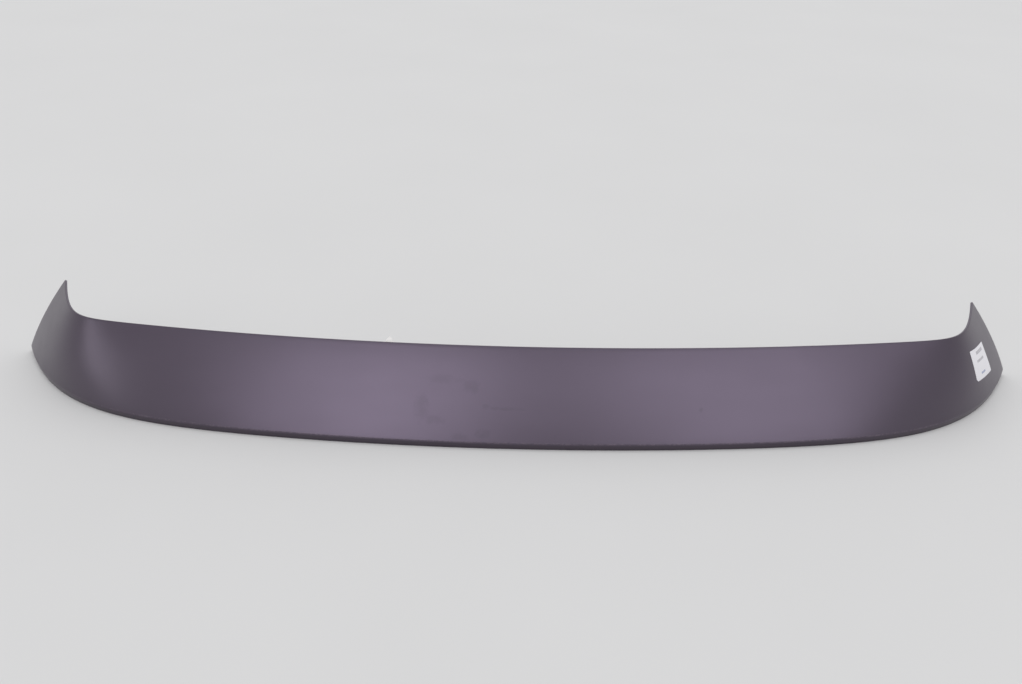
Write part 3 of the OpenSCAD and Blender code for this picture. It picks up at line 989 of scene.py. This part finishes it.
def push_clip():
    """Head, neck and dished collar, then a stem with soft barbs and a blunt tip."""
    collar = CLIP_HEAD_T + CLIP_FLOOR_T + 2 * CLIP_GAP
    stem = collar + CLIP_COLLAR_T
    pitch = CLIP_STEM_LEN / (CLIP_BARBS + 1)
    rim = CLIP_ROUND
    line = [(CLIP_HEAD_R - CLIP_DISH, 0)]
    line += arc((CLIP_HEAD_R - rim, rim), rim, -90, 0, EDGE_STEPS)
    line += arc((CLIP_HEAD_R - rim, CLIP_HEAD_T - rim), rim, 0, 90, EDGE_STEPS)
    line += [(CLIP_STEM_R, CLIP_HEAD_T), (CLIP_STEM_R, collar)]
    line += [(CLIP_COLLAR_R - CLIP_DISH + rim, collar)]
    line += arc((CLIP_COLLAR_R - rim, collar + CLIP_COLLAR_T / 3), rim, -60, 60, EDGE_STEPS)
    line += [(CLIP_COLLAR_R - CLIP_DISH, stem), (CLIP_STEM_R, stem)]
    for i in range(1, CLIP_BARBS + 1):
        root = stem + (i - 0.5) * pitch
        line += [(CLIP_STEM_R - rim, root - rim), (CLIP_BARB_R - rim, root - BARB_LEAN),
                 (CLIP_BARB_R, root), (CLIP_BARB_R - rim / 3, root + rim),
                 (CLIP_STEM_R - rim / 2, root + pitch * BARB_SHARE)]
    end = stem + CLIP_STEM_LEN
    line += [(CLIP_STEM_R - rim, end - pitch)]
    line += [(CLIP_STEM_R * share, end - left) for share, left in CLIP_TIP]
    return turned("clip", 0, 0, line, CLIP_STEPS)


clips = repeat("push_clips", push_clip(), [(x, clip_head_y, CLIP_Z) for x in clip_xs], CLIP_TURN)
print("clips:", len(clips.data.polygons), "faces")

# %% [markdown]
# ## Tape and liner
#
# A strip of foam tape runs behind the leading edge on either side, and a thin liner still
# covers its glue. The strips are drawn flat like the moulding, so they follow the wall.
# The liner is not pressed down evenly: it lifts a little in long waves, and its free end
# stands above the edge as a tab.

# %% Strips
TAPE_FROM = 127 * MM
TAPE_TO = 420 * MM
TAPE_T = 1.6 * MM
LINER_T = 0.3 * MM
BOND = 0.3 * MM
STRIP_PLACES = 97
STRIP_ROUND = 0.1 * MM
LINER_WAVE = 0.1 * MM
RIPPLE = 0.37
SWELL = 0.11
SIDES = {"left": -1, "right": 1}


def strip_line(near, far):
    """Flat strip's section, with rounded corners."""
    low, high = tape_low + STRIP_ROUND, tape_high - STRIP_ROUND
    near, far = near + STRIP_ROUND, far - STRIP_ROUND
    corners = [(low, near, 180), (high, near, 270), (high, far, 0), (low, far, 90)]
    return [place for rise, depth, turn in corners
            for place in arc((rise, depth), STRIP_ROUND, turn, turn + 90, 2)]


def strip(name, side, near, thick, wave=0.0):
    """Strip behind the edge of one side, as flat rings that the tree wraps."""
    ends = sweep_at([side * TAPE_FROM, side * TAPE_TO], SHAPE["Height"])
    line = strip_line(near, near + thick)
    rings = []
    for k, sweep in enumerate(np.linspace(*ends, STRIP_PLACES)):
        lift = wave * (math.sin(k * RIPPLE) * math.sin(k * SWELL + side)) ** 2
        rings.append([(sweep, rise, depth + lift) for rise, depth in line])
    return rework(wrap(loft(name, rings), MIDDLE))


tape_near = WALL + BOND / 2
liner_near = WALL + BOND + TAPE_T + BOND / 2
tapes = [strip(f"tape_{word}", side, tape_near, TAPE_T) for word, side in SIDES.items()]
liners = [strip(f"liner_{word}", side, liner_near, LINER_T, LINER_WAVE)
          for word, side in SIDES.items()]

# %% [markdown]
# A liner is pulled off by its end, which is left free and stands above the leading
# edge. The tab has the thickness of film, tapers to its tip and curls a little, like
# anything that comes off a roll.

# %% Pull tab
TAB_W = 20 * MM
TAB_RISE = 5.8 * MM
TAB_T = 0.16 * MM
TAB_IN_LINER = 0.07 * MM
TAB_CURL = 0.5 * MM
TAB_CURL_FROM = 0.55
TAB_TAPER = 0.72
TAB_TIP_SWEEP = 0.0006
TAB_STEPS = 20
TAB_PLACES = 13


def pull_tab():
    """Corner of the liner that stands up, curled outwards at its tip."""
    left, right = sweep_at([-TAPE_FROM - TAB_W, -TAPE_FROM], SHAPE["Height"])
    foot = (tape_low + tape_high) / 2
    tip = face_length + TAB_RISE
    rings = []
    for step in range(TAB_STEPS + 1):
        up = step / TAB_STEPS
        half = (right - left) / 2 * (1 - up) ** TAB_TAPER + TAB_TIP_SWEEP
        near = liner_near + TAB_IN_LINER - TAB_CURL * max(0, up - TAB_CURL_FROM) ** 2
        rise = foot + (tip - foot) * up
        sweeps = (left + right) / 2 + half * np.linspace(-1, 1, TAB_PLACES)
        rings.append([(sweep, rise, near) for sweep in sweeps]
                     + [(sweep, rise, near + TAB_T) for sweep in reversed(sweeps)])
    return rework(wrap(loft("tab", rings), MIDDLE))


liners[0] = join("liner_left", [liners[0], pull_tab()])
print("strips:", [len(piece.data.polygons) for piece in tapes + liners], "faces")

# %% [markdown]
# ## Label
#
# The paper label on the right ear is drawn square, in parts of its width and height, and
# is then leaned, turned and laid on the face. Its corners are rounded, and the lower left
# one is cut.

# %% Label
LABEL_W = 46 * MM
LABEL_H = 39 * MM
LABEL_T = 0.14 * MM
LABEL_LIFT = 0.12 * MM
LABEL_INSET = 63 * MM
LABEL_Z = 53 * MM
LABEL_TURN_DEG = -7
LABEL_LEAN_DEG = -20
LABEL_ROUND = 1.6 * MM
LABEL_CUT = 3 * MM
LABEL_CURL = 3 * MM
LABEL_CURL_FROM = 0.62
LABEL_COLUMNS = 28
LABEL_ROWS = 21
RIM_SHARES = (0.0, 0.1, 0.3, 0.6, 1.0)

label_sweep = float(sweep_at(SHAPE["Half Width"] - LABEL_INSET, LABEL_Z))
label_rise = rise_at(LABEL_Z)
around = [(label_sweep + a * SWEEP_STEP, label_rise + b * RISE_STEP, 0)
          for a, b in ((-1, 0), (1, 0), (0, -1), (0, 1))]
nearby = probe(around, MIDDLE)
label_along = (nearby[1] - nearby[0]) / (2 * SWEEP_STEP)
label_up = (nearby[3] - nearby[2]) / (2 * RISE_STEP)
across = label_along / np.linalg.norm(label_along)
upward = label_up - across * (label_up @ across)
upward /= np.linalg.norm(upward)


def on_face(a, b):
    """Sweep and rise of a place on the label, with a and b from -0.5 to 0.5."""
    x = a * LABEL_W + b * LABEL_H * math.tan(math.radians(LABEL_LEAN_DEG))
    y = b * LABEL_H
    turn = math.radians(LABEL_TURN_DEG)
    p = x * math.cos(turn) - y * math.sin(turn)
    q = x * math.sin(turn) + y * math.cos(turn)
    climb = q / (label_up @ upward)
    return (label_sweep + (p - climb * (label_up @ across)) / np.linalg.norm(label_along),
            label_rise + climb)


def label_ends(y):
    """Left and right end of the label at a height y, from 0 to LABEL_H."""
    from_rim = min(y, LABEL_H - y)
    inset = 0.0
    if from_rim < LABEL_ROUND:
        inset = LABEL_ROUND - math.sqrt(LABEL_ROUND ** 2 - (LABEL_ROUND - from_rim) ** 2)
    left = max(inset, LABEL_CUT - y)
    return left / LABEL_W - 0.5, 0.5 - inset / LABEL_W


def label_grid():
    """Rows of (a, b), closer together where the corners are rounded."""
    rim = [LABEL_ROUND * share for share in RIM_SHARES]
    ys = rim + list(np.linspace(LABEL_ROUND, LABEL_H - LABEL_ROUND, LABEL_ROWS + 1)[1:-1])
    ys += [LABEL_H - y for y in reversed(rim)]
    rows = []
    for y in ys:
        left, right = label_ends(y)
        rows.append([(a, y / LABEL_H - 0.5) for a in np.linspace(left, right, LABEL_COLUMNS + 1)])
    return rows


def paper_label():
    """Thin sheet on the face, one corner of which has started to lift."""
    rings, places = [], []
    for row in label_grid():
        front, back = [], []
        for a, b in row:
            depth = -LABEL_LIFT - LABEL_CURL * max(0, a + b - LABEL_CURL_FROM) ** 2
            front.append((*on_face(a, b), depth - LABEL_T))
            back.append((*on_face(a, b), depth))
        rings.append(front + back[::-1])
        places += row + row[::-1]
    piece = wrap(loft("label", rings), MIDDLE)
    layer = piece.data.uv_layers.new(name="Sheet")
    for corner in piece.data.loops:
        a, b = places[corner.vertex_index]
        layer.data[corner.index].uv = (a + 0.5, b + 0.5)
    return rework(piece)


label = paper_label()
print("label:", len(label.data.polygons), "faces")

# %% [markdown]
# ## Finishes
#
# Every finish is a small node tree on the piece's own coordinates, in metres. Noise at
# several sizes makes the grain and the unevenness that a real surface has. The face gets
# a satin grain and a few faint smudges, with a painted highlight along the fold and painted
# shade on the band below it, while the back has no grain and shows how the plastic flowed.

# %% Finish helpers
def finish(name, paint, **constants):
    """A material whose varying sockets come from paint, and the others from constants."""
    material = bpy.data.materials.new(name)
    material.use_nodes = True
    material.node_tree.nodes.clear()
    net = Net(material.node_tree)
    sockets = {label.replace("_", " "): value for label, value in constants.items()}
    shader = net.add("ShaderNodeBsdfPrincipled", {**sockets, **paint(net)})
    net.add("ShaderNodeOutputMaterial", {"Surface": shader})
    return material


def coordinates(net):
    return net.add("ShaderNodeTexCoord").out("Object")


def noise(net, scale, detail=2.0, rough=0.5, where=None):
    return net.add("ShaderNodeTexNoise", {"Vector": where or coordinates(net), "Scale": scale,
                                          "Detail": detail, "Roughness": rough})


def blend(net, factor, first, second):
    """Colour between two others."""
    return net.add("ShaderNodeMix", {"Factor": factor, "A": first, "B": second}, data_type="RGBA")


def bump(net, height, distance, strength):
    return net.add("ShaderNodeBump", {"Height": height, "Distance": distance, "Strength": strength})


def colour(red, green, blue):
    return (red, green, blue, 1.0)


def mottled(patches, dark, light, roughness, grain, relief):
    """Finish that wanders between two colours and two roughnesses, under a finer grain."""
    def paint(net):
        share = noise(net, *patches)
        low, high = roughness
        return {"Base Color": blend(net, share, dark, light), "Roughness": low + share * (high - low),
                "Normal": bump(net, noise(net, *grain), *relief)}
    return paint

# %% [markdown]
# This plastic is nearly black. It looks lighter only because its satin skin mirrors
# what is around it, so the colour stays dark and the reflection gets a faint purple
# tint. A few patches mark the face. Each is an ellipse with a ragged rim, from a table
# of places.

# %% Moulded plastic
FACE_COLOUR = colour(0.035, 0.026, 0.037)
FACE_DARK = colour(0.029, 0.022, 0.030)
BACK_COLOUR = colour(0.052, 0.044, 0.055)
# Painted highlight: a lighter line along the fold, broken up by noise
FOLD_HIGHLIGHT_COLOUR = colour(0.21, 0.17, 0.20)
SMUDGE_COLOUR = colour(0.014, 0.010, 0.014)
# Painted shade: the band below the fold is darkened
BAND_SHADE_COLOUR = colour(0.016, 0.010, 0.014)
BAND_SHADE_TOP = 6.8 * MM
BAND_SHADE_BLUR = 1.0 * MM
FOLD_HIGHLIGHT_Z = 8.2 * MM
FOLD_HIGHLIGHT_HALF = 1.4 * MM
SMUDGES = [
    # x, z, half width and half height in metres, and strength
    (-0.100, 0.040, 0.009, 0.015, 0.8),
    (-0.086, 0.029, 0.015, 0.005, 0.7),
    (-0.076, 0.066, 0.022, 0.005, 0.55),
    (-0.047, 0.060, 0.011, 0.007, 0.8),
    (-0.010, 0.041, 0.027, 0.002, 1.0),
    (-0.031, 0.043, 0.005, 0.003, 1.0),
    (-0.060, 0.013, 0.011, 0.005, 0.8),
    (-0.034, 0.016, 0.010, 0.006, 1.0),
    (0.196, 0.041, 0.003, 0.0025, 1.4),
]


def smudge(net, x, z, wobble, place):
    at_x, at_z, half_w, half_h, strength = place
    across, upwards = (x - at_x) / half_w, (z - at_z) / half_h
    return (1 - across * across - upwards * upwards + wobble).clip(0, 1) * strength


def plastic(net):
    x, y, z = net.parts(coordinates(net))
    normal_y = net.parts(net.add("ShaderNodeNewGeometry").out("Normal"))[1]
    outer = (0.5 - normal_y * 40).clip(0, 1)

    # Unevenness of the face, from broad to fine
    cloud = noise(net, 9, 3)
    streak = noise(net, 60, 2, where=net.point(x * 0.15, y, z))
    fine = noise(net, 1500, 2, 0.6)

    # Marks, the dark band below the fold, and the rubbed line along it
    wobble = (noise(net, 160, 3, 0.6) - 0.5) * 2.6
    marks = smudge(net, x, z, wobble, SMUDGES[0])
    for place in SMUDGES[1:]:
        # Marks, painted shade on the band below the fold, and a painted highlight along the fold
        marks = net.maths("MAXIMUM", marks, smudge(net, x, z, wobble, place))
    band = ((BAND_SHADE_TOP - z) / BAND_SHADE_BLUR).clip(0, 1) * outer
    # Painted highlight: a thin lighter line along the fold
    fold_highlight = (1 - abs(z - FOLD_HIGHLIGHT_Z) / FOLD_HIGHLIGHT_HALF).clip(0, 1) * outer
    fold_highlight = fold_highlight * ((noise(net, 420, 3, 0.7) - 0.44) * 5).clip(0, 1)

    # Colour, then roughness and relief
    face = blend(net, ((cloud - 0.5) * 1.6 + 0.5).clip(0, 1), FACE_COLOUR, FACE_DARK)
    face = blend(net, (marks * 0.65).clip(0, 1), face, SMUDGE_COLOUR)
    # Painted highlight lightens the line along the fold
    face = blend(net, fold_highlight * 0.35, face, FOLD_HIGHLIGHT_COLOUR)
    # Painted shade darkens the band below the fold
    face = blend(net, band * 0.85, face, BAND_SHADE_COLOUR)
    flow = noise(net, 26, 4, 0.6, where=net.point(x * 0.35, y, z * 2))
    back_rough = 0.34 + (flow - 0.5) * 0.22
    face_rough = 0.30 + (cloud - 0.5) * 0.10 + (streak - 0.5) * 0.05 + marks * 0.05 + fold_highlight * 0.08
    height = fine * outer + flow * 0.3 * (1 - outer)
    return {
        "Base Color": blend(net, outer, BACK_COLOUR, face),
        "Roughness": back_rough + (face_rough - back_rough) * outer,
        "Normal": bump(net, height, 0.05 * MM, 0.5),
    }


plastic_finish = finish("moulded_plastic", plastic, IOR=1.5, Specular_IOR_Level=1.0,
                        Specular_Tint=colour(0.90, 0.79, 1.0))

# %% [markdown]
# The small pieces need less. Steel, nylon and liner each wander between two close tones
# under a finer grain, so one function can paint all three. Foam shows small round
# cells, which come from a Voronoi texture.

# %% Steel, foam, nylon and liner
def foam(dark, light, cell):
    """Closed-cell foam: small round cells that the punch has cut open."""
    def paint(net):
        cells = net.add("ShaderNodeTexVoronoi", {"Vector": coordinates(net), "Scale": cell},
                        feature="F1")
        tone = blend(net, (cells * 1.5).clip(0, 1), dark, light)
        return {"Base Color": tone, "Roughness": 0.86 + noise(net, 90) * 0.1,
                "Normal": bump(net, cells, 0.18 * MM, 0.7)}
    return paint


zinc = mottled((380, 3, 0.6), colour(0.50, 0.50, 0.47), colour(0.68, 0.68, 0.66),
               (0.24, 0.46), (2400, 2), (0.01 * MM, 0.4))
nylon = mottled((70, 3), colour(0.76, 0.73, 0.64), colour(0.84, 0.82, 0.75),
                (0.36, 0.48), (900, 2), (0.02 * MM, 0.4))
liner = mottled((45, 2), colour(0.86, 0.85, 0.82), colour(0.92, 0.91, 0.89),
                (0.30, 0.44), (120, 3), (0.06 * MM, 0.4))
zinc_finish = finish("zinc_plated_steel", zinc, Metallic=1.0)
seal_finish = finish("seal_foam", foam(colour(0.012, 0.012, 0.013), colour(0.034, 0.034, 0.037), 1400))
tape_finish = finish("tape_foam", foam(colour(0.060, 0.060, 0.064), colour(0.11, 0.11, 0.116), 2600))
nylon_finish = finish("natural_nylon", nylon, Subsurface_Weight=0.15, Subsurface_Scale=2 * MM)
liner_finish = finish("release_liner", liner)

# %% [markdown]
# The label is white paper with a little fibre in it and three plain bars, two grey and
# one blue. The bars are drawn in the sheet's own coordinates, from 0 to 1 across and
# up, so they lean and turn with it, and the ink is a little uneven.

# %% Paper
# Bars on the label, in parts of its width and height: left, right, low and high
TOP_BAR = (0.36, 0.84, 0.80, 0.90)
MIDDLE_BAR = (0.29, 0.75, 0.56, 0.64)
BLUE_BAR = (0.37, 0.63, 0.15, 0.22)


def bar(across, up, left, right, low, high):
    """1 inside a bar and 0 outside it."""
    return (up > low) * (up < high) * ((across > left) * (across < right))


def paper(net):
    sheet = net.add("ShaderNodeUVMap", uv_map="Sheet")
    across, up = net.parts(sheet)[:2]
    fibre = noise(net, 700, 4, 0.65)
    ink = noise(net, 40, 3, 0.7, where=sheet)
    breaks = noise(net, 30, 1, where=net.point(across, 0, 0)) > 0.44
    grey = bar(across, up, *TOP_BAR) * (0.45 + breaks * 0.35)
    grey = grey + bar(across, up, *MIDDLE_BAR) * (0.4 + breaks * 0.4)
    blue = bar(across, up, *BLUE_BAR)
    tone = blend(net, fibre, colour(0.80, 0.79, 0.83), colour(0.88, 0.87, 0.90))
    tone = blend(net, grey * (0.55 + ink * 0.4), tone, colour(0.28, 0.27, 0.30))
    tone = blend(net, blue * (0.5 + ink * 0.4), tone, colour(0.22, 0.27, 0.46))
    return {"Base Color": tone, "Roughness": 0.46 + fibre * 0.16,
            "Normal": bump(net, fibre, 0.03 * MM, 0.5)}


paper_finish = finish("label_paper", paper)
print("finishes:", [material.name for material in bpy.data.materials if material.users == 0])

# %% [markdown]
# ## Stand-ins for the solids
#
# Each fine piece takes the place of its solids in the picture. The solids stay in the
# physics model. Every piece rides on the one body of the part.

# %% Dress the frame
SHARP_DEG = 32


def dress(piece, material, slot_name, *nodes):
    """Finishes a piece and lets it stand for its solids."""
    piece.data.materials.clear()
    piece.data.materials.append(material)
    piece.data.shade_smooth()
    piece.data.set_sharp_from_angle(angle=math.radians(SHARP_DEG))
    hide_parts(*nodes)
    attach(piece, "root")


stud_numbers = range(1, len(STUD_XS) + 1)
dress(moulding, plastic_finish, "shell_plastic", "spoiler_shell")
dress(studs, zinc_finish, "stud_steel", *[f"mount_stud_{i}" for i in stud_numbers])
dress(seals, seal_finish, "seal_foam", *[f"stud_seal_{i}" for i in stud_numbers])
dress(clips, nylon_finish, "clip_nylon", "ear_clip_left", "ear_clip_right")
for word, tape, liner_piece in zip(SIDES, tapes, liners):
    dress(tape, tape_finish, "tape_foam", f"edge_tape_{word}")
    dress(liner_piece, liner_finish, "liner_film", f"tape_liner_{word}")
dress(label, paper_finish, "label_paper", "parts_label")

# %% [markdown]
# ## Floor and light
#
# A satin face shows what stands around it. Looked at from the camera, the middle of this
# face mirrors what is behind the camera, from 12 to 45 degrees up, and the ears mirror
# the sides. So two large soft boxes stand behind the camera with a gap between them, and
# a narrow one leans low on the left, for the band that runs down the left ear. Two more,
# above and behind, show on the back. The boxes are seen only as reflections: a wide lamp
# overhead and the pale world light the part and the floor evenly.

# %% Floor
FLOOR_SIZE = 60.0

floor_paint = mottled((3, 4), colour(0.64, 0.64, 0.64), colour(0.67, 0.67, 0.67),
                      (0.6, 0.7), (300, 3), (0.05 * MM, 0.3))
floor_corners = [(a * FLOOR_SIZE / 2, b * FLOOR_SIZE / 2, 0)
                 for a, b in ((-1, -1), (1, -1), (1, 1), (-1, 1))]
floor = new_piece("floor", floor_corners, [(0, 1, 2, 3)])
floor.data.materials.append(finish("pale_floor", floor_paint, Specular_IOR_Level=0.0))

# %% Soft boxes
LIT_PLACE = Vector((0, 0, 50)) * MM
COOL = (0.96, 0.91, 1.0)
OVERHEAD = 0.38
OVERHEAD_ANGLE_DEG = 100
WORLD_LIGHT = 0.78
WORLD_GLOW = 0.02


def soft_box(name, azimuth, elevation, distance, width, height, brightness, tint=(1, 1, 1), lean=0):
    """Rectangular lamp in a direction as seen from the part, that shows only in reflections."""
    turn, lift = math.radians(azimuth), math.radians(elevation)
    way = Vector((math.sin(turn) * math.cos(lift), -math.cos(turn) * math.cos(lift), math.sin(lift)))
    lamp = bpy.data.lights.new(name, "AREA")
    lamp.shape = "RECTANGLE"
    lamp.size = width
    lamp.size_y = height
    lamp.energy = brightness * math.pi * width * height
    lamp.color = tint
    holder = bpy.data.objects.new(name, lamp)
    holder.location = LIT_PLACE + way * distance
    leaning = Matrix.Rotation(math.radians(-lean), 3, "Z")
    holder.rotation_euler = (way.to_track_quat("Z", "Y").to_matrix() @ leaning).to_euler()
    holder.visible_camera = False
    holder.visible_diffuse = False
    scene.collection.objects.link(holder)
    return holder


soft_boxes = [
    # azimuth and elevation in degrees, then distance, width and height, then brightness
    soft_box("box_left", -17.6, 24.5, 3.2, 1.40, 2.56, 2.5, COOL),
    soft_box("box_right", 27.9, 24.5, 3.2, 1.66, 2.56, 2.0, COOL),
    soft_box("box_low_left", -64.5, 6.5, 1.97, 0.32, 0.76, 1.75, lean=14),
    soft_box("box_above", 0, 88, 3.0, 3.4, 2.4, 0.8),
    soft_box("box_behind", 170, 38, 2.8, 2.4, 1.2, 1.3),
]

overhead_lamp = bpy.data.lights.new("overhead", "SUN")
overhead_lamp.energy = OVERHEAD * math.pi
overhead_lamp.angle = math.radians(OVERHEAD_ANGLE_DEG)
overhead = bpy.data.objects.new("overhead", overhead_lamp)
overhead.visible_glossy = False
scene.collection.objects.link(overhead)

world = bpy.data.worlds.new("pale_world")
world.use_nodes = True
world.node_tree.nodes.clear()
world_net = Net(world.node_tree)
seen = world_net.add("ShaderNodeLightPath").out("Is Camera Ray")
sky = world_net.add("ShaderNodeBackground", {"Color": colour(0.86, 0.86, 0.87),
                                             "Strength": WORLD_LIGHT + seen * WORLD_GLOW})
world_net.add("ShaderNodeOutputWorld", {"Surface": sky})
scene.world = world
scene.view_settings.view_transform = "Standard"
print("soft boxes:", [box.name for box in soft_boxes])
